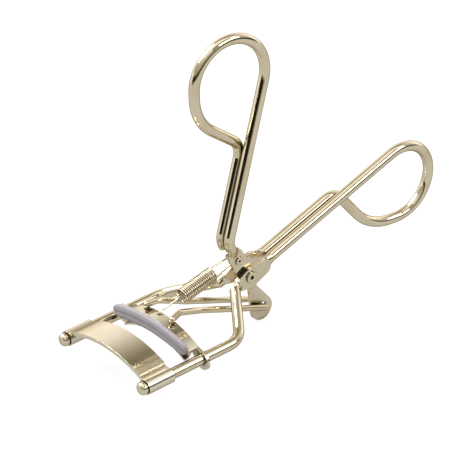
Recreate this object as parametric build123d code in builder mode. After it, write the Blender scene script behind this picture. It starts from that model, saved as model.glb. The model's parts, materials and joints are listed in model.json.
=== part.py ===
from build123d import *
import os
from math import atan2, cos, degrees, radians, sin

# Eyelash curler, standing open, in millimetres. X runs across the jaws and along the pivot,
# +Y runs back along the two guide rails to the finger loops, +Z is up.
# The origin is under the middle of the whole tool, level with its lowest point.

# ---- Driving dimensions ----------------------------------------------------
pivot_y = -9.42            # where the pivot stands
pivot_z = 15.4
wire_radius = 1.45
rail_spacing = 32.0
rail_drop = 6.8            # rail axis below the pivot
rail_reach = 48.5          # front end of the rails, ahead of the pivot
rail_corner_reach = 15.3   # where the straight rails start to converge
frame_angle = 17.3         # fixed handle above +Y
thumb_angle = 71.3         # thumb handle above +Y, fully open
lever_angle = 116.5        # thumb ear above +Y, bent forward of its handle
leg_offset = 1.5           # half the distance between the two legs of a handle
jaw_gap = 5.8              # between the front plate and the pad, fully open
sheet = 0.55               # thickness of the pressed jaws
running = 0.05             # radial clearance where a pin turns in an ear

rail_x = rail_spacing / 2
rail_z = pivot_z - rail_drop
rail_tip_y = pivot_y - rail_reach
pivot_point = Vector(0, pivot_y, pivot_z)
leg_right = Vector(leg_offset, 0, 0)

os.makedirs("parts", exist_ok=True)


def across(y):
    """Sketch plane across the tool at the given y, with its normal towards the front."""
    return Plane.XZ.offset(-y)


def side(x):
    """Sketch plane along the tool at the given x: y across the sketch, z up it."""
    return Plane.YZ.offset(x)


def heading(angle):
    """Unit vector in the y-z plane, at an angle above +Y."""
    return Vector(0, cos(radians(angle)), sin(radians(angle)))


def square_to(origin, direction):
    """Sketch plane at a point of a wire, square to the way the wire runs."""
    return Plane(origin=origin, x_dir=(1, 0, 0), z_dir=direction)


def tube(path, radius):
    """Round wire along a path, joined to the current part."""
    line = path.wire()
    with BuildSketch(Plane(origin=line @ 0, z_dir=line % 0)) as section:
        Circle(radius)
    sweep(section.sketch, path=line)


def save(name, label):
    """Label a finished piece, write it as STEP and print its size."""
    name.part.label = label
    export_step(name.part, f"parts/{label}.step")
    box = name.part.bounding_box()
    print(f"{label}: volume {name.part.volume:.1f}, from {box.min} to {box.max}")


# ---- Handle wires: two legs side by side and a finger loop -----------------
# A handle's outline is laid out in u, along its leg from the foot, and v, square to the leg.
loop_radius = 10.9
loop_centre_u = 38.3
loop_turns = 4             # the round end of the loop is this many equal bends
loop_turn = 50.0
flank_turn = 50.0
flank_radius = 15.0
flank_length = 13.97
heel_radius = 5.0
heel_length = 19.47
loop_lean = [1.5, 1.2, 0.6, 0.0, -0.9, -1.5]   # x of each corner: the loop crosses over
loop_radii = [loop_radius] * loop_turns + [flank_radius, heel_radius]


def handle_corners(foot, angle, bulge):
    """Corners of one handle wire from its right leg round the loop and back down its left."""
    along = heading(angle)
    out = heading(angle + 90 * bulge)
    reach = loop_radius / cos(radians(loop_turn / 2))
    spots = []
    for turn in range(loop_turns):
        bearing = radians(loop_turn * (turn + 0.5) - 90)
        spots.append((loop_centre_u + reach * cos(bearing), loop_radius + reach * sin(bearing)))
    bearing = radians(loop_turn * loop_turns)
    u, v = spots[-1]
    u, v = u + flank_length * cos(bearing), v + flank_length * sin(bearing)
    spots.append((u, v))
    bearing = bearing + radians(flank_turn)
    spots.append((u + heel_length * cos(bearing), 0.0))
    points = []
    for (u, v), x in zip(spots, loop_lean):
        points.append(foot + along * u + out * v + Vector(x, 0, 0))
    return points


# ---- Fixed handle and frame: one bent wire, flattened where the pivot goes through --
frame_ear_inner = 2.05
frame_ear_thick = 1.1
frame_ear_outer = frame_ear_inner + frame_ear_thick
frame_ear_shift = Vector(frame_ear_inner + frame_ear_thick / 2, 0, 0)
frame_foot = pivot_point + Vector(0, 15.19, 4.18)
frame_leg_end = frame_foot - heading(frame_angle) * 7.2
frame_ear_back = pivot_point + Vector(0, 4.6, 0.9)
frame_ear_middle = pivot_point + Vector(0, 0, -0.4)
frame_ear_front = pivot_point + Vector(0, -3.2, -1.0)
frame_wire_front = pivot_point + Vector(2.9, -5.4, -1.75)
frame_ear_height = 4.6
frame_ear_middle_radius = 2.9
frame_ear_front_radius = 1.9
frame_neck_thick = 0.9
frame_neck_height = 3.4
rolled_edge = 0.4          # corner radius of flattened wire
frame_bend_radius = 7.0
rail_end_gap = 0.7         # the rail stops this far short of its cap's dome
pivot_radius = 1.0

frame_right_leg = frame_leg_end + leg_right
frame_left_leg = frame_leg_end - leg_right
rail_corner = Vector(rail_x, pivot_y - rail_corner_reach, rail_z)
rail_end = Vector(rail_x, rail_tip_y + rail_end_gap, rail_z)
spread = (rail_corner - frame_wire_front).normalized()

with BuildPart() as frame_side:
    # the leg of the handle is hammered flat into an ear
    with BuildSketch(square_to(frame_right_leg, -heading(frame_angle))):
        Circle(wire_radius)
    with BuildSketch(square_to(frame_ear_back + frame_ear_shift, -heading(frame_angle))):
        RectangleRounded(frame_ear_thick, frame_ear_height, rolled_edge)
    loft()
    with BuildSketch(side(frame_ear_inner)):
        with Locations((frame_ear_back.Y, frame_ear_back.Z)):
            Circle(frame_ear_height / 2)
        with Locations((frame_ear_middle.Y, frame_ear_middle.Z)):
            Circle(frame_ear_middle_radius)
        with Locations((frame_ear_front.Y, frame_ear_front.Z)):
            Circle(frame_ear_front_radius)
        make_hull()
        with Locations((pivot_y, pivot_z)):
            Circle(pivot_radius, mode=Mode.SUBTRACT)
    extrude(amount=frame_ear_thick)
    # the wire goes on from the ear, spreads out sideways and runs forward as a guide rail
    with BuildSketch(square_to(frame_ear_front + frame_ear_shift, -heading(frame_angle))):
        RectangleRounded(frame_neck_thick, frame_neck_height, rolled_edge)
    with BuildSketch(square_to(frame_wire_front, spread)):
        Circle(wire_radius)
    loft()
    with BuildLine() as rail_path:
        FilletPolyline(frame_wire_front, rail_corner, rail_end, radius=frame_bend_radius)
    tube(rail_path, wire_radius)

with BuildPart() as frame_wire:
    with BuildLine() as handle_path:
        frame_loop = handle_corners(frame_foot, frame_angle, -1)
        FilletPolyline(frame_right_leg, *frame_loop, frame_left_leg, radius=loop_radii)
    tube(handle_path, wire_radius)
    add(frame_side.part)
    mirror(frame_side.part, about=Plane.YZ)
save(frame_wire, "frame_wire")

# ---- Front jaw: a pressed, gilded plate, arched to the eye, rolled round both rails ------
plate_front_y = rail_tip_y + 1.9
plate_back_y = plate_front_y + 8.2
plate_top = 5.45           # crown of the arch above the rails
plate_foot = 2.55          # ends of the arch above the rails
plate_half = 14.0
crease_run = 0.15          # the arch steps down at a crease to a narrow ledge
ledge_up = 1.8
tuck_side = 0.8            # the ledge ends this far inside the rail's axis
sleeve_radius = 2.05
hem_depth = 0.9            # the front edge is folded this far back under itself

with BuildPart() as front_plate:
    with BuildSketch(across(plate_back_y)):
        with BuildLine():
            crown = ThreePointArc((-plate_half, rail_z + plate_foot), (0, rail_z + plate_top),
                                  (plate_half, rail_z + plate_foot))
            Polyline(crown @ 1, (plate_half + crease_run, rail_z + ledge_up),
                     (rail_x - tuck_side, rail_z + ledge_up))
            Polyline(crown @ 0, (-plate_half - crease_run, rail_z + ledge_up),
                     (tuck_side - rail_x, rail_z + ledge_up))
            offset(amount=sheet / 2, side=Side.BOTH)
        make_face()
    extrude(amount=plate_back_y - plate_front_y)
    # the front edge is hemmed: folded under itself
    with BuildSketch(across(plate_front_y + hem_depth)):
        with BuildLine():
            ThreePointArc((-plate_half, rail_z + plate_foot - sheet),
                          (0, rail_z + plate_top - sheet),
                          (plate_half, rail_z + plate_foot - sheet))
            offset(amount=sheet / 2, side=Side.BOTH)
        make_face()
    extrude(amount=hem_depth)
    # the ends are rolled into sleeves that sit on the rails
    with BuildSketch(across(plate_back_y)):
        with Locations((-rail_x, rail_z), (rail_x, rail_z)):
            Circle(sleeve_radius)
    extrude(amount=plate_back_y - plate_front_y)
    with BuildSketch(across(plate_back_y)):
        with Locations((-rail_x, rail_z), (rail_x, rail_z)):
            Circle(wire_radius + running)
    extrude(amount=plate_back_y - plate_front_y, mode=Mode.SUBTRACT)
save(front_plate, "front_plate")

# ---- Domed caps, pressed on the rail ends to keep the front jaw on --------------
cap_radius = 1.75
cap_skirt = 0.5
cap_gap = 0.3              # between the cap and the front jaw
cap_back_y = plate_front_y - cap_gap
cap_length = cap_back_y - rail_tip_y

for label, x in (("rail_cap_left", -rail_x), ("rail_cap_right", rail_x)):
    with BuildPart() as rail_cap:
        with BuildSketch(across(cap_back_y)):
            with Locations((x, rail_z)):
                Circle(cap_radius)
        extrude(amount=cap_length)
        rim = rail_cap.faces().sort_by(Axis.Y)[0].edges()
        fillet(rim, cap_length - cap_skirt)
        with BuildSketch(across(cap_back_y)):
            with Locations((x, rail_z)):
                Circle(wire_radius)
        extrude(amount=cap_length - rail_end_gap, mode=Mode.SUBTRACT)
    save(rail_cap, label)

# ---- Thumb handle: the second bent wire, its ears between the frame's ears ---------
thumb_ear_inner = 1.0
thumb_ear_thick = 0.95
thumb_ear_outer = thumb_ear_inner + thumb_ear_thick
thumb_ear_shift = Vector(thumb_ear_inner + thumb_ear_thick / 2, 0, 0)
thumb_section = thumb_ear_thick - 0.1
thumb_foot = pivot_point + Vector(0, -3.51, 17.95)
thumb_bend = pivot_point + Vector(0, -5.71, 11.45)
thumb_bend_radius = 5.0
thumb_ear_start = pivot_point + heading(lever_angle) * 10.5
thumb_ear_end = pivot_point + heading(lever_angle) * 8.0
thumb_ear_low = pivot_point + Vector(0, 0.3, -1.6)
thumb_ear_low_radius = 2.6
thumb_ear_height = 4.6
anchor_point = pivot_point + heading(lever_angle) * 6.25
anchor_radius = 0.7
neck_start = 3.4           # below the pivot, where the neck leaves the ear
neck_start_height = 3.4
neck_point = pivot_point + Vector(0, 1.95, -5.5)
neck_height = 3.0
lobe_point = pivot_point + Vector(0, 4.35, -11.9)
lobe_radius = 3.5
lobe_inner = 0.75          # the lobe is set in from the ear
lobe_shift = Vector(lobe_inner + thumb_ear_thick / 2, 0, 0)
link_hole = pivot_point + Vector(0, 4.7, -11.4)
link_hole_radius = 1.15

with BuildPart() as thumb_side:
    # the wire is hammered flat below its bend
    with BuildSketch(square_to(thumb_ear_start + leg_right, -heading(lever_angle))):
        Circle(wire_radius)
    with BuildSketch(square_to(thumb_ear_end + thumb_ear_shift, -heading(lever_angle))):
        RectangleRounded(thumb_section, thumb_ear_height, rolled_edge)
    loft()
    with BuildSketch(side(thumb_ear_inner)):
        with Locations((thumb_ear_end.Y, thumb_ear_end.Z)):
            Circle(thumb_ear_height / 2)
        with Locations((thumb_ear_low.Y, thumb_ear_low.Z)):
            Circle(thumb_ear_low_radius)
        make_hull()
        with Locations((pivot_y, pivot_z)):
            Circle(pivot_radius + running, mode=Mode.SUBTRACT)
        with Locations((anchor_point.Y, anchor_point.Z)):
            Circle(anchor_radius, mode=Mode.SUBTRACT)
    extrude(amount=thumb_ear_thick)
    # a narrow neck is bent inwards and spreads into the lobe that works the links
    neck_heading = (lobe_point - pivot_point).normalized()
    neck_top = pivot_point + neck_heading * neck_start + thumb_ear_shift
    with BuildSketch(square_to(neck_top, neck_heading)):
        RectangleRounded(thumb_section, neck_start_height, rolled_edge)
    with BuildSketch(square_to(neck_point + lobe_shift, neck_heading)):
        RectangleRounded(thumb_section, neck_height, rolled_edge)
    loft(ruled=True)
    with BuildSketch(side(lobe_inner)):
        with Locations((neck_point.Y, neck_point.Z)):
            Circle(neck_height / 2)
        with Locations((lobe_point.Y, lobe_point.Z)):
            Circle(lobe_radius)
        make_hull()
        with Locations((link_hole.Y, link_hole.Z)):
            Circle(link_hole_radius, mode=Mode.SUBTRACT)
    extrude(amount=thumb_ear_thick)

with BuildPart() as thumb_handle_wire:
    with BuildLine() as thumb_path:
        thumb_loop = handle_corners(thumb_foot, thumb_angle, 1)
        FilletPolyline(thumb_ear_start + leg_right, thumb_bend + leg_right, *thumb_loop,
                       thumb_bend - leg_right, thumb_ear_start - leg_right,
                       radius=[thumb_bend_radius, *loop_radii, thumb_bend_radius])
    tube(thumb_path, wire_radius)
    add(thumb_side.part)
    mirror(thumb_side.part, about=Plane.YZ)
save(thumb_handle_wire, "thumb_handle_wire")

# ---- Pivot rivet and spring pin --------------------------------------------------
rivet_head_radius = 1.5
rivet_head_height = 0.5
rivet_dimple_radius = 0.6
pin_head_radius = 1.05
pin_head_height = 0.35
pin_dimple_radius = 0.35
dimple_depth = 0.7


def rivet(point, radius, reach, head_radius, head_height, dimple_radius):
    """Solid rivet along X through the point, with a head beyond each end of its reach."""
    with BuildSketch(side(0)) as shank:
        with Locations((point.Y, point.Z)):
            Circle(radius)
    extrude(shank.sketch, amount=reach, both=True)
    for way in (-1, 1):
        with BuildSketch(side(way * reach)) as head:
            with Locations((point.Y, point.Z)):
                Circle(head_radius)
        extrude(head.sketch, amount=way * head_height)
        with BuildSketch(side(way * (reach + head_height))) as dimple:
            with Locations((point.Y, point.Z)):
                Circle(dimple_radius)
        extrude(dimple.sketch, amount=-way * dimple_depth, mode=Mode.SUBTRACT)


with BuildPart() as pivot_rivet:
    rivet(pivot_point, pivot_radius, frame_ear_outer, rivet_head_radius, rivet_head_height,
          rivet_dimple_radius)
save(pivot_rivet, "pivot_rivet")

with BuildPart() as spring_pin:
    rivet(anchor_point, anchor_radius, thumb_ear_outer, pin_head_radius, pin_head_height,
          pin_dimple_radius)
save(spring_pin, "spring_pin")

# ---- Moving jaw: an arched channel that slides on the rails --------------------------
jaw_top = 6.4              # crown of the channel above the rails
jaw_bow = 28.0             # radius of its top
jaw_half_angle = 30.5
channel_front = 3.4        # front edge of the channel ahead of its back edge
web_ahead = 1.9            # back wall of the channel ahead of its back edge
pad_height = 3.2
pad_front = 1.9            # the pad stands this far in front of the channel
jaw_back_y = plate_back_y + jaw_gap + pad_front + channel_front
jaw_ear_thick = 0.8
jaw_ear_radius = 2.55
jaw_ear_drop = 0.5
shoulder_x = 12.6          # where the ear leaves the end of the arch
shoulder_up = 1.9
shoulder_radius = 1.0
slide_clearance = 0.2
foot_x = 5.2
foot_y = jaw_back_y - 0.95
foot_hole_radius = 0.8
hook_hole_radius = 0.7
jaw_centre_z = rail_z + jaw_top - jaw_bow
inner_bow = jaw_bow - sheet - pad_height


def arch_band(centre_z, outer, inner, half_angle):
    """Face between two arcs about one centre of bow, from one end angle to the other."""
    with BuildLine() as outline:
        top = CenterArc((0, centre_z), outer, 90 - half_angle, 2 * half_angle)
        low = CenterArc((0, centre_z), inner, 90 - half_angle, 2 * half_angle)
        Line(top @ 0, low @ 0)
        Line(top @ 1, low @ 1)
    make_face(outline.edges())


with BuildPart() as pad_holder:
    # top flange, carried back past the channel as a shelf
    with BuildSketch(across(jaw_back_y)):
        arch_band(jaw_centre_z, jaw_bow, jaw_bow - sheet, jaw_half_angle)
    extrude(amount=channel_front)
    # lower flange
    with BuildSketch(across(jaw_back_y - web_ahead)):
        arch_band(jaw_centre_z, inner_bow, inner_bow - sheet, jaw_half_angle)
    extrude(amount=channel_front - web_ahead)
    # back wall of the channel
    with BuildSketch(across(jaw_back_y - web_ahead)):
        arch_band(jaw_centre_z, jaw_bow, inner_bow - sheet, jaw_half_angle)
    extrude(amount=sheet)
    # an ear at each end, bent down from the shelf, runs on the rail
    with BuildSketch(across(jaw_back_y)):
        for way in (-1, 1):
            with BuildSketch(mode=Mode.PRIVATE) as ear:
                with Locations((way * rail_x, rail_z - jaw_ear_drop)):
                    Circle(jaw_ear_radius)
                with Locations((way * shoulder_x, rail_z + shoulder_up)):
                    Circle(shoulder_radius)
                make_hull()
            add(ear.sketch)
        with Locations((-rail_x, rail_z), (rail_x, rail_z)):
            Circle(wire_radius + slide_clearance, mode=Mode.SUBTRACT)
    extrude(amount=jaw_ear_thick)
    # holes in the shelf for the feet of the links and the hook of the spring
    with Locations(Plane.XY.offset(rail_z + jaw_top)):
        with Locations((-foot_x, foot_y), (foot_x, foot_y)):
            Hole(foot_hole_radius, depth=pad_height)
        with Locations((0, foot_y)):
            Hole(hook_hole_radius, depth=pad_height)
save(pad_holder, "pad_holder")

# ---- Rubber pad: a tongue pushed into the channel and a bead standing in front of it ---
bead_top = 7.0             # crown of the bead above the rails
bead_bow = 55.0            # radius of its top
bead_height = 3.9
bead_half_angle = 16.0
bead_corner = 1.6
bead_nose = 1.2
tongue_half_angle = 24.0   # the tongue stops short of the ends of the channel
pad_play = 0.05
bead_centre_z = rail_z + bead_top - bead_bow
channel_front_y = jaw_back_y - channel_front

with BuildPart() as rubber_pad:
    with BuildSketch(across(channel_front_y - pad_play)) as bead:
        arch_band(bead_centre_z, bead_bow, bead_bow - bead_height, bead_half_angle)
        fillet(bead.vertices(), bead_corner)
    extrude(amount=pad_front - pad_play)
    nose = rubber_pad.faces().sort_by(Axis.Y)[0].edges()
    fillet(nose, bead_nose)
    with BuildSketch(across(jaw_back_y - web_ahead - sheet - pad_play)):
        arch_band(jaw_centre_z, jaw_bow - sheet - pad_play, inner_bow + pad_play,
                  tongue_half_angle)
    extrude(amount=channel_front - web_ahead - sheet)
save(rubber_pad, "rubber_pad")

# ---- Links: one bent wire each side, from the jaw's shelf to the thumb lever -------
link_radius = 0.85
link_foot_radius = 0.55
foot_top = rail_z + jaw_top + 0.75
foot_end = rail_z + jaw_top - 1.6
shoulder_bend = 2.5
link_bend = 5.0
link_rear_x = 2.95
link_inner_x = 0.35

for label, way in (("link_left", -1), ("link_right", 1)):
    with BuildPart() as link:
        hook_top = Vector(way * foot_x, foot_y, foot_top)
        link_shoulder = hook_top + Vector(-way * 0.94, 3.2, 0.25)
        link_knee = hook_top + Vector(-way * 2.1, 10.75, -2.85)
        link_rear = link_hole + Vector(way * link_rear_x, 0, 0)
        with BuildLine() as link_path:
            FilletPolyline(hook_top, link_shoulder, link_knee, link_rear,
                           radius=[shoulder_bend, link_bend])
        tube(link_path, link_radius)
        # the front end is turned down and shouldered into its foot
        with Locations(hook_top):
            Sphere(link_radius)
        with BuildSketch(Plane.XY.offset(foot_end)) as foot:
            with Locations((way * foot_x, foot_y)):
                Circle(link_foot_radius)
        extrude(foot.sketch, amount=foot_top - foot_end)
        # the rear end is turned in through the lever
        with Locations(link_rear):
            Sphere(link_radius)
        with BuildSketch(side(way * link_inner_x)) as tail:
            with Locations((link_hole.Y, link_hole.Z)):
                Circle(link_foot_radius)
        extrude(tail.sketch, amount=way * (link_rear_x - link_inner_x))
    save(link, label)

# ---- Return spring: a close-wound extension spring, hooked at both ends ----------
spring_wire_radius = 0.275
coil_radius = 2.2
coil_inner = coil_radius - 2 * spring_wire_radius
coil_mean = coil_radius - spring_wire_radius
hook_point = Vector(0, foot_y, rail_z + jaw_top + 0.55)
hook_tip = hook_point - Vector(0, 0, 2.2)
spring_line = anchor_point - hook_point
spring_way = spring_line.normalized()
spring_angle = degrees(atan2(spring_way.Z, spring_way.Y))
coil_start = hook_point + spring_way * 7.6
coil_end = hook_point + spring_way * 18.4
eye_radius = 1.35
eye_gap = 0.15             # slack between the eye and the spring pin
hook_bend = 0.6

with BuildPart() as spring_coil:
    # the barrel of coils
    with BuildSketch(Plane(origin=coil_start, z_dir=spring_way)):
        Circle(coil_radius)
        Circle(coil_inner, mode=Mode.SUBTRACT)
    extrude(amount=(coil_end - coil_start).length)
    # the long eye round the spring pin
    lift = heading(spring_angle + 90)
    eye_reach = anchor_radius + spring_wire_radius + eye_gap
    eye_centre = anchor_point + spring_way * (eye_reach - eye_radius)
    eye_foot = coil_end - spring_way * spring_wire_radius
    with BuildLine() as eye_path:
        upper = Line(eye_foot + lift * coil_mean, eye_centre + lift * eye_radius)
        ThreePointArc(upper @ 1, eye_centre + spring_way * eye_radius,
                      eye_centre - lift * eye_radius)
        Line(eye_centre - lift * eye_radius, eye_foot - lift * coil_mean)
    tube(eye_path, spring_wire_radius)
save(spring_coil, "spring_coil")

with BuildPart() as spring_hook:
    # straight tail of the spring, drawn out of the barrel as it stretches
    with BuildLine() as hook_path:
        FilletPolyline(hook_tip, hook_point, coil_end - spring_way * hook_bend,
                       radius=hook_bend)
    tube(hook_path, spring_wire_radius)
save(spring_hook, "spring_hook")

# ---- Places that the joints use ---------------------------------------------------
link_foot = Vector(0, foot_y, rail_z + jaw_top)
print("pivot", pivot_point, "spring pin", anchor_point, "link hole", link_hole)
print("link foot", link_foot, "spring hook", hook_point, "spring along", spring_way)
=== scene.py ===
import bpy
import json
from math import cos, pi, radians, sin
from mathutils import Matrix, Vector


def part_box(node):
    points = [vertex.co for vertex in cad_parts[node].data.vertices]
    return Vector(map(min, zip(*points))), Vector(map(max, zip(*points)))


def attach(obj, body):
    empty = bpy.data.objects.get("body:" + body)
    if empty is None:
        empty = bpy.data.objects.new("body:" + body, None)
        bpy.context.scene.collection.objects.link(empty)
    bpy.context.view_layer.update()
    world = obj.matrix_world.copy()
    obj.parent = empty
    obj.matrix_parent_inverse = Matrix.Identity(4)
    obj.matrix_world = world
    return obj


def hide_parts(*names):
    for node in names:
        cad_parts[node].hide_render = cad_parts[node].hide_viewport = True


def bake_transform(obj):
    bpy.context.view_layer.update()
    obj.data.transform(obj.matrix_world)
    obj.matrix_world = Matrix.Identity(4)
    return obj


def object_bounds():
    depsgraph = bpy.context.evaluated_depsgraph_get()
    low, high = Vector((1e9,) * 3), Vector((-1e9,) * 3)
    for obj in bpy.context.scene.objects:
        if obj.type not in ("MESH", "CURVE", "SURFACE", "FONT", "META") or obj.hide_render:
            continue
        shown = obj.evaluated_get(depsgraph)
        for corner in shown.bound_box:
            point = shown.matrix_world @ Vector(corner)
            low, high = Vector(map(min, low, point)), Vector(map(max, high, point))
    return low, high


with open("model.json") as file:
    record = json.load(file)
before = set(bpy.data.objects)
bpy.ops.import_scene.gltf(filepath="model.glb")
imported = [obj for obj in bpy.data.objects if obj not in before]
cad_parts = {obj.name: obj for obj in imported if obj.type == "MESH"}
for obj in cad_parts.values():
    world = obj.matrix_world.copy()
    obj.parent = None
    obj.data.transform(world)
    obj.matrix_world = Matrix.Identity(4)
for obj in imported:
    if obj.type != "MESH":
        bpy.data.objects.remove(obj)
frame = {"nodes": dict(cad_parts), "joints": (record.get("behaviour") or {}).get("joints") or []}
cad_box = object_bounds()

# ---- Frame wire and thumb handle wire ------------------------------------------------
# Two lengths of drawn steel wire, each bent to a finger loop and hammered flat into ears
# at the pivot, then plated with bright pale gold. The plating is thinner in places and holds
# fine polishing marks and short scratches, and painted shade darkens it in the nooks.
nodes = frame["nodes"]
millimetre = 0.001


def add_noise(tree, place, scale, detail):
    """A noise texture laid over a piece."""
    noise = tree.nodes.new("ShaderNodeTexNoise")
    noise.inputs["Scale"].default_value = scale
    noise.inputs["Detail"].default_value = detail
    tree.links.new(place, noise.inputs["Vector"])
    return noise.outputs["Fac"]


def add_mask(tree, value, low, high):
    """Spreads the part of a value between low and high over 0 to 1."""
    spread = tree.nodes.new("ShaderNodeMapRange")
    spread.inputs["From Min"].default_value = low
    spread.inputs["From Max"].default_value = high
    tree.links.new(value, spread.inputs["Value"])
    return spread.outputs["Result"]


def add_mix(tree, share, first, second):
    """Mixes two colours, each a socket or a plain colour."""
    mix = tree.nodes.new("ShaderNodeMix")
    mix.data_type = "RGBA"
    tree.links.new(share, mix.inputs["Factor"])
    for name, colour in (("A", first), ("B", second)):
        if isinstance(colour, bpy.types.NodeSocket):
            tree.links.new(colour, mix.inputs[name])
        else:
            mix.inputs[name].default_value = (*colour, 1)
    return mix.outputs["Result"]


def add_to(tree, base, value, weight):
    """Adds a weighted value to a base."""
    total = tree.nodes.new("ShaderNodeMath")
    total.operation = "MULTIPLY_ADD"
    total.inputs[1].default_value = weight
    tree.links.new(value, total.inputs[0])
    tree.links.new(base, total.inputs[2])
    return total.outputs[0]


def make_plating_group():
    """Gold plating: tone with painted nook shade, roughness, and height of polishing marks."""
    nook_reach = 1.5 * millimetre
    painted_nook_shade = (0.2, 0.15, 0.085)
    patch_haze, polish_rub, scratch_wear = 0.03, 0.05, 0.12
    scratch_turn = (0.6, 0.2, 0.4)
    scratch_stretch = (5000, 160, 2400)
    group = bpy.data.node_groups.new("gold_plating", "ShaderNodeTree")
    for name, kind, value in (("Gold", "NodeSocketColor", (0.8, 0.7, 0.5, 1)),
                              ("Thin Gold", "NodeSocketColor", (0.7, 0.6, 0.45, 1)),
                              ("Polish", "NodeSocketFloat", 0.14)):
        socket = group.interface.new_socket(name=name, in_out="INPUT", socket_type=kind)
        socket.default_value = value
    for name, kind in (("Color", "NodeSocketColor"), ("Roughness", "NodeSocketFloat"),
                       ("Height", "NodeSocketFloat")):
        group.interface.new_socket(name=name, in_out="OUTPUT", socket_type=kind)
    add, link = group.nodes.new, group.links.new
    given, made = add("NodeGroupInput"), add("NodeGroupOutput")
    place = add("ShaderNodeTexCoord").outputs["Object"]

    patches = add_mask(group, add_noise(group, place, 160, 4), 0.42, 0.68)
    tone = add_mix(group, patches, given.outputs["Gold"], given.outputs["Thin Gold"])
    # Painted shade: the tone turns dark brown where ambient occlusion finds metal close by.
    nook = add("ShaderNodeAmbientOcclusion")
    nook.samples = 6
    nook.inputs["Distance"].default_value = nook_reach
    unshaded_share = add_mask(group, nook.outputs["AO"], 0.3, 0.92)
    link(add_mix(group, unshaded_share, painted_nook_shade, tone), made.inputs["Color"])

    polishing = add_noise(group, place, 2600, 3)
    drawn_out = add("ShaderNodeMapping")
    drawn_out.inputs["Rotation"].default_value = scratch_turn
    drawn_out.inputs["Scale"].default_value = scratch_stretch
    link(place, drawn_out.inputs["Vector"])
    hairlines = add_noise(group, drawn_out.outputs["Vector"], 1, 2)
    scratches = add_mask(group, hairlines, 0.66, 0.74)
    haze = add_to(group, given.outputs["Polish"], patches, patch_haze)
    rubbed = add_to(group, haze, polishing, polish_rub)
    link(add_to(group, rubbed, scratches, scratch_wear), made.inputs["Roughness"])

    relief = add("ShaderNodeMath")
    relief.operation = "SUBTRACT"
    link(polishing, relief.inputs[0])
    link(scratches, relief.inputs[1])
    link(relief.outputs[0], made.inputs["Height"])
    return group


plating = make_plating_group()
mark_strength = 0.12
mark_depth = 0.01 * millimetre
glancing_tint = (0.42, 0.36, 0.26)


def gilt(name, gold, thin_gold, polish, soft_edge):
    """Gold-plated metal with softened edges."""
    material = bpy.data.materials.new(name)
    material.use_nodes = True
    tree = material.node_tree
    metal = tree.nodes["Principled BSDF"]
    metal.inputs["Metallic"].default_value = 1.0
    metal.inputs["Specular Tint"].default_value = (*glancing_tint, 1)
    coat = tree.nodes.new("ShaderNodeGroup")
    coat.node_tree = plating
    coat.inputs["Gold"].default_value = (*gold, 1)
    coat.inputs["Thin Gold"].default_value = (*thin_gold, 1)
    coat.inputs["Polish"].default_value = polish
    edge = tree.nodes.new("ShaderNodeBevel")
    edge.samples = 4
    edge.inputs["Radius"].default_value = soft_edge
    bump = tree.nodes.new("ShaderNodeBump")
    bump.inputs["Strength"].default_value = mark_strength
    bump.inputs["Distance"].default_value = mark_depth
    tree.links.new(edge.outputs["Normal"], bump.inputs["Normal"])
    tree.links.new(coat.outputs["Height"], bump.inputs["Height"])
    tree.links.new(coat.outputs["Color"], metal.inputs["Base Color"])
    tree.links.new(coat.outputs["Roughness"], metal.inputs["Roughness"])
    tree.links.new(bump.outputs["Normal"], metal.inputs["Normal"])
    return material


def finish_with(material, *pieces):
    """Gives each piece one material all over."""
    for piece in pieces:
        piece.data.materials.clear()
        piece.data.materials.append(material)


wire_gilt = gilt("gilt_wire", gold=(0.79, 0.705, 0.53), thin_gold=(0.71, 0.62, 0.43),
                 polish=0.05, soft_edge=0.15 * millimetre)
finish_with(wire_gilt, nodes["frame_wire"], nodes["thumb_handle_wire"])

# ---- Links ---------------------------------------------------------------------------
# Two thinner wires in the same plating, hooked through the shelf of the moving jaw and
# through the lobes of the thumb lever. They push the jaw along as the handles close.
finish_with(wire_gilt, nodes["link_left"], nodes["link_right"])

# ---- Rail caps, pivot rivet and spring pin -------------------------------------------
# Small turned parts in the same plating: domed caps pressed on the rail ends, the rivet
# headed over both pairs of ears, and the pin across the thumb ears that holds the spring.
finish_with(wire_gilt, nodes["rail_cap_left"], nodes["rail_cap_right"],
            nodes["pivot_rivet"], nodes["spring_pin"])

# ---- Front jaw and pad holder --------------------------------------------------------
# Pressed steel sheet with a calmer, paler plating: the arched front jaw, rolled round
# both rail ends, and the arched channel whose ears run on the rails.
sheet_gilt = gilt("gilt_sheet", gold=(0.83, 0.765, 0.62), thin_gold=(0.80, 0.73, 0.57),
                  polish=0.08, soft_edge=0.12 * millimetre)
finish_with(sheet_gilt, nodes["front_plate"], nodes["pad_holder"])

# ---- Return spring -------------------------------------------------------------------
# One length of hard spring wire: a hook through the jaw's shelf, a close-wound barrel,
# and a long eye round the pin in the thumb handle.
spring_gilt = gilt("gilt_spring", gold=(0.86, 0.77, 0.58), thin_gold=(0.77, 0.67, 0.48),
                   polish=0.08, soft_edge=0.02 * millimetre)
joints = {joint["name"]: joint for joint in frame["joints"]}
pin = Vector(joints["spring_swing"]["pos_m"])
spring_way = Vector(joints["spring_stretch"]["axis"]).normalized()
wire_radius = 0.275 * millimetre
strand_radius = 0.235 * millimetre
hook_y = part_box("spring_hook")[0].y + wire_radius
hook_point = pin - spring_way * ((pin.y - hook_y) / spring_way.y)
across = Vector((1, 0, 0))
lift = across.cross(spring_way)
hook_tail = 2.2 * millimetre
bend_start = 0.35 * millimetre
bend_middle = 0.12 * millimetre
bend_end = 0.6 * millimetre
coil_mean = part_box("spring_coil")[1].x - wire_radius
barrel_start = 7.6 * millimetre
barrel_end = 18.4 * millimetre
barrel_turns = 19
turn_steps = 20
shank_gap = 1.2 * millimetre
climb_length = 1.0 * millimetre
climb_steps = 6
leave_length = 1.25 * millimetre
leave_steps = 5
eye_radius = 1.3 * millimetre
eye_back = 0.2 * millimetre
eye_steps = 12


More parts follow.
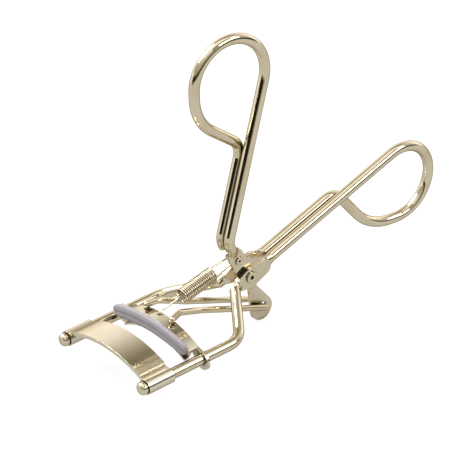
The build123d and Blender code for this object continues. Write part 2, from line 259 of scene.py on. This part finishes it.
def spring_spot(along, sideways, up):
    """A point of the spring, from its hook, along its axis and square to it."""
    return hook_point + spring_way * along + across * sideways + lift * up


route = [hook_point - Vector((0, 0, hook_tail)), hook_point - Vector((0, 0, bend_start))]
route += [spring_spot(along, 0, 0)
          for along in (bend_middle, bend_end, barrel_start - shank_gap)]
for step in range(1, climb_steps):
    share = step / climb_steps
    angle = share * pi / 2
    route.append(spring_spot(barrel_start - (1 - share) * climb_length,
                             -coil_mean * share * sin(angle),
                             coil_mean * share * cos(angle)))
for step in range(barrel_turns * turn_steps + 1):
    angle = 2 * pi * step / turn_steps + pi / 2
    share = step / (barrel_turns * turn_steps)
    route.append(spring_spot(barrel_start + (barrel_end - barrel_start) * share,
                             -coil_mean * sin(angle), coil_mean * cos(angle)))
for step in range(1, leave_steps):
    share = step / leave_steps
    angle = (1 + share) * pi / 2
    route.append(spring_spot(barrel_end + leave_length * share,
                             -coil_mean * (1 - share) * sin(angle),
                             coil_mean * cos(angle)))
eye_along = (pin - hook_point).dot(spring_way) - eye_back
for step in range(eye_steps + 1):
    angle = pi + step * pi / eye_steps
    route.append(spring_spot(eye_along - eye_radius * sin(angle), 0,
                             eye_radius * cos(angle)))
route.append(spring_spot(barrel_end, 0, coil_mean))

line = bpy.data.curves.new("spring", "CURVE")
line.dimensions = "3D"
line.bevel_depth = strand_radius
line.bevel_resolution = 3
line.use_fill_caps = True
strand = line.splines.new("POLY")
strand.points.add(len(route) - 1)
for point, spot in zip(strand.points, route):
    point.co = (*spot, 1)
curve = bpy.data.objects.new("spring_line", line)
bpy.context.scene.collection.objects.link(curve)
spring = bpy.data.objects.new("return_spring", bpy.data.meshes.new_from_object(curve))
bpy.context.scene.collection.objects.link(spring)
bpy.data.objects.remove(curve)
spring.data.polygons.foreach_set("use_smooth", [True] * len(spring.data.polygons))
finish_with(spring_gilt, spring)
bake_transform(spring)
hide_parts("spring_coil", "spring_hook")

# ---- Rubber pad ----------------------------------------------------------------------
# Moulded silicone, lavender grey and matt: a rounded bead with a shallow groove along its
# face, and a tongue behind it that is pushed into the channel of the moving jaw.
pad_low, pad_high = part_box("rubber_pad")
bead_bow = 55.0 * millimetre
bead_height = 3.9 * millimetre
bead_depth = 1.85 * millimetre
bead_half_angle = radians(15.9)
bead_rings = 72
ring_points = 40
end_sharpness = 12
end_roundness = 0.4
end_depth = 0.55
squareness = 0.72
groove_depth = 0.3 * millimetre
groove_half = 0.4 * millimetre
holder_bow = 28.0 * millimetre
tongue_bow = 27.35 * millimetre
tongue_height = 3.0 * millimetre
tongue_half_angle = radians(23.8)
tongue_rings = 24
tongue_overlap = 0.1 * millimetre
tongue_front_y = pad_low.y + bead_depth - tongue_overlap
bead_middle = bead_bow - bead_height / 2
bead_centre_z = pad_high.z - bead_bow
tongue_centre_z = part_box("pad_holder")[1].z - holder_bow


def squared(value):
    """A sine or cosine made squarer, keeping its sign."""
    return abs(value) ** squareness * (1 if value >= 0 else -1)


def bead_ring(share):
    """The bead's outline at a share of its half length, -1 to 1."""
    angle = bead_half_angle * share
    swell = max(1 - abs(share) ** end_sharpness, 0.0) ** end_roundness
    thickness = bead_depth * (end_depth + (1 - end_depth) * swell)
    ring = []
    for step in range(ring_points):
        turn = 2 * pi * step / ring_points
        rise = bead_height / 2 * swell * squared(sin(turn))
        ahead = thickness / 2 * squared(cos(turn))
        if ahead > 0 and abs(rise) < groove_half:
            ahead -= groove_depth * (1 + cos(pi * rise / groove_half)) / 2
        radius = bead_middle + rise
        ring.append((radius * sin(angle), pad_low.y + bead_depth / 2 - ahead,
                     bead_centre_z + radius * cos(angle)))
    return ring


def tongue_ring(share):
    """The tongue's outline at a share of its half length, -1 to 1."""
    angle = tongue_half_angle * share
    return [(radius * sin(angle), y, tongue_centre_z + radius * cos(angle))
            for radius, y in ((tongue_bow, tongue_front_y), (tongue_bow, pad_high.y),
                              (tongue_bow - tongue_height, pad_high.y),
                              (tongue_bow - tongue_height, tongue_front_y))]


def sweep_rings(rings, verts, faces):
    """Joins equal rings of points into a closed skin."""
    first = len(verts)
    count = len(rings[0])
    last = first + (len(rings) - 1) * count
    for ring in rings:
        verts.extend(ring)
    for row in range(len(rings) - 1):
        for step in range(count):
            a = first + row * count + step
            b = first + row * count + (step + 1) % count
            faces.append((a, b, b + count, a + count))
    faces.append([first + step for step in reversed(range(count))])
    faces.append([last + step for step in range(count)])


verts, faces = [], []
sweep_rings([bead_ring(-cos(pi * row / bead_rings)) for row in range(bead_rings + 1)],
            verts, faces)
sweep_rings([tongue_ring(2 * row / tongue_rings - 1) for row in range(tongue_rings + 1)],
            verts, faces)
skin = bpy.data.meshes.new("pad")
skin.from_pydata(verts, [], faces)
skin.polygons.foreach_set("use_smooth", [len(face) == 4 for face in faces])
pad = bpy.data.objects.new("pad", skin)
bpy.context.scene.collection.objects.link(pad)

rubber = bpy.data.materials.new("pad_rubber")
rubber.use_nodes = True
rubber_tree = rubber.node_tree
silicone = rubber_tree.nodes["Principled BSDF"]
silicone.inputs["Roughness"].default_value = 0.5
silicone.inputs["Specular IOR Level"].default_value = 0.35
silicone.inputs["Subsurface Weight"].default_value = 0.15
silicone.inputs["Subsurface Scale"].default_value = 0.6 * millimetre
pad_place = rubber_tree.nodes.new("ShaderNodeTexCoord").outputs["Object"]
dark_lavender = (0.30, 0.28, 0.315)
pale_lavender = (0.36, 0.335, 0.37)
lavender = add_mix(rubber_tree, add_noise(rubber_tree, pad_place, 260, 5),
                   dark_lavender, pale_lavender)
rubber_tree.links.new(lavender, silicone.inputs["Base Color"])
grain = rubber_tree.nodes.new("ShaderNodeBump")
grain.inputs["Strength"].default_value = 0.3
grain.inputs["Distance"].default_value = 0.03 * millimetre
rubber_tree.links.new(add_noise(rubber_tree, pad_place, 5200, 2), grain.inputs["Height"])
rubber_tree.links.new(grain.outputs["Normal"], silicone.inputs["Normal"])
finish_with(rubber, pad)
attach(pad, "jaw")
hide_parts("rubber_pad")

# ---- Studio: camera, cards and light -------------------------------------------------
# The tool stands on a pale floor against white. The metal mirrors a surround with a dark
# band at the height of the horizon in front and a dark band high up behind, a brown strip
# to one side and a white card to the other. Two soft boxes light it.
low, high = cad_box
middle = (low + high) / 2
aim = middle + Vector((3.627, -16.44, -9.58)) * millimetre
view_roll = radians(-3.154)
view_distance = 0.779157


def towards(bearing, rise):
    """The direction at a bearing round the tool and a rise, both in degrees."""
    bearing, rise = radians(bearing), radians(rise)
    return Vector((sin(bearing) * cos(rise), -cos(bearing) * cos(rise), sin(rise)))


back = towards(51.16, 30.16)
right = towards(51.16 + 90, 0)
up = back.cross(right)
rolled_right = right * cos(view_roll) + up * sin(view_roll)
rolled_up = up * cos(view_roll) - right * sin(view_roll)
lens = bpy.data.cameras.new("camera")
lens.lens = 239.7
lens.sensor_width = 36
lens.clip_start = 0.01
lens.clip_end = 20
camera = bpy.data.objects.new("camera", lens)
bpy.context.scene.collection.objects.link(camera)
camera.matrix_world = Matrix((
    (rolled_right.x, rolled_up.x, back.x, 0),
    (rolled_right.y, rolled_up.y, back.y, 0),
    (rolled_right.z, rolled_up.z, back.z, 0),
    (0, 0, 0, 1)))
camera.location = aim + back * view_distance
bpy.context.scene.camera = camera
bpy.context.scene.view_settings.view_transform = "Standard"


def card_paint(name, colour, roughness, glow=(1, 1, 1), strength=0.0):
    """The paint of a stage card, which can give off light."""
    paint = bpy.data.materials.new(name)
    paint.use_nodes = True
    surface = paint.node_tree.nodes["Principled BSDF"]
    surface.inputs["Base Color"].default_value = (*colour, 1)
    surface.inputs["Roughness"].default_value = roughness
    surface.inputs["Emission Color"].default_value = (*glow, 1)
    surface.inputs["Emission Strength"].default_value = strength
    return paint


def card(name, centre, facing, width, height, paint):
    """A flat stage card of a given size, turned to face a direction."""
    mesh = bpy.data.meshes.new(name)
    w, h = width / 2, height / 2
    mesh.from_pydata([(-w, -h, 0), (w, -h, 0), (w, h, 0), (-w, h, 0)], [], [(0, 1, 2, 3)])
    mesh.materials.append(paint)
    piece = bpy.data.objects.new(name, mesh)
    bpy.context.scene.collection.objects.link(piece)
    piece.rotation_mode = "QUATERNION"
    piece.rotation_quaternion = Vector(facing).to_track_quat("Z", "Y")
    piece.location = centre
    return piece


def mirrored_card(name, way, distance, width, height, paint):
    """A card that faces the tool and shows only in what the metal mirrors."""
    piece = card(name, middle + way * distance, -way, width, height, paint)
    piece.visible_camera = False
    piece.visible_diffuse = False
    piece.visible_shadow = False


floor_size = 1.5
floor_offset = 0.45
paper = card_paint("paper", (0.16, 0.16, 0.16), 0.9)
paper_tree = paper.node_tree
seen = paper_tree.nodes.new("ShaderNodeLightPath")
paper_glow = paper_tree.nodes.new("ShaderNodeMapRange")
paper_glow.inputs["To Min"].default_value = 0.4
paper_glow.inputs["To Max"].default_value = 0.85
paper_tree.links.new(seen.outputs["Is Camera Ray"], paper_glow.inputs["Value"])
paper_tree.links.new(paper_glow.outputs["Result"],
                     paper_tree.nodes["Principled BSDF"].inputs["Emission Strength"])
away = Vector((-back.x, -back.y, 0)).normalized()
card("floor", Vector((0, 0, low.z)) + away * floor_offset, (0, 0, 1),
     floor_size, floor_size, paper)

brown = card_paint("brown_card", (0.03, 0.022, 0.014), 1.0)
mirrored_card("brown_strip", towards(104, 51), 1.2, 0.85, 0.44, brown)
white = card_paint("white_card", (0.8, 0.8, 0.8), 0.5, glow=(1, 0.98, 0.95), strength=0.45)
mirrored_card("white_card", towards(-52, 2.8624), 0.9011, 1.2, 0.45, white)

world = bpy.data.worlds.new("studio")
bpy.context.scene.world = world
world.use_nodes = True
surround = world.node_tree
surround.nodes["Background"].inputs["Strength"].default_value = 1.0
direction = surround.nodes.new("ShaderNodeTexCoord").outputs["Generated"]
split = surround.nodes.new("ShaderNodeSeparateXYZ")
surround.links.new(direction, split.inputs["Vector"])
height_share = add_mask(surround, split.outputs["Z"], -1.0, 1.0)
facing_away = surround.nodes.new("ShaderNodeVectorMath")
facing_away.operation = "DOT_PRODUCT"
facing_away.inputs[1].default_value = away
surround.links.new(direction, facing_away.inputs[0])
behind = surround.nodes.new("ShaderNodeMapRange")
behind.interpolation_type = "SMOOTHSTEP"
behind.inputs["From Min"].default_value = 0.1
behind.inputs["From Max"].default_value = 0.55
surround.links.new(facing_away.outputs["Value"], behind.inputs["Value"])


def height_ramp(*stops):
    """A ramp of colour with height, from straight down at 0 to straight up at 1."""
    ramp = surround.nodes.new("ShaderNodeValToRGB")
    band = ramp.color_ramp
    for element, (position, tone) in ((band.elements[0], stops[0]),
                                      (band.elements[1], stops[-1])):
        element.position, element.color = position, (*tone, 1)
    for position, tone in stops[1:-1]:
        band.elements.new(position).color = (*tone, 1)
    surround.links.new(height_share, ramp.inputs["Fac"])
    return ramp.outputs["Color"]


underneath = (0.5, 0.48, 0.44)
overhead = (1.2, 1.18, 1.12)
near_black = (0.012, 0.008, 0.004)
in_front = height_ramp((0.0, underneath), (0.45, (0.3, 0.27, 0.22)),
                       (0.482, near_black), (0.555, near_black),
                       (0.6, (0.4, 0.38, 0.33)), (0.78, (0.58, 0.56, 0.51)),
                       (0.88, (1.1, 1.08, 1.03)), (1.0, overhead))
at_back = height_ramp((0.0, underneath), (0.45, (1.45, 1.45, 1.45)),
                      (0.6, (1.55, 1.52, 1.5)), (0.77, (1.0, 0.96, 0.9)),
                      (0.86, (0.5, 0.46, 0.38)), (0.92, (0.14, 0.11, 0.06)),
                      (0.95, (0.5, 0.48, 0.42)), (1.0, overhead))
mirrored = add_mix(surround, behind.outputs["Result"], in_front, at_back)
looked_at = surround.nodes.new("ShaderNodeLightPath").outputs["Is Camera Ray"]
surround.links.new(add_mix(surround, looked_at, mirrored, (1, 1, 1)),
                   surround.nodes["Background"].inputs["Color"])


def soft_box(name, way, distance, size, power):
    """An area light at a distance from the tool, facing it."""
    light = bpy.data.lights.new(name, "AREA")
    light.shape = "RECTANGLE"
    light.size, light.size_y = size
    light.energy = power
    lamp = bpy.data.objects.new(name, light)
    bpy.context.scene.collection.objects.link(lamp)
    lamp.location = middle + way * distance
    lamp.rotation_mode = "QUATERNION"
    lamp.rotation_quaternion = way.to_track_quat("Z", "Y")


soft_box("key", towards(-60, 50), 1.2, (0.7, 0.7), 14)
soft_box("fill", towards(120, 35), 1.4, (0.9, 0.5), 7)
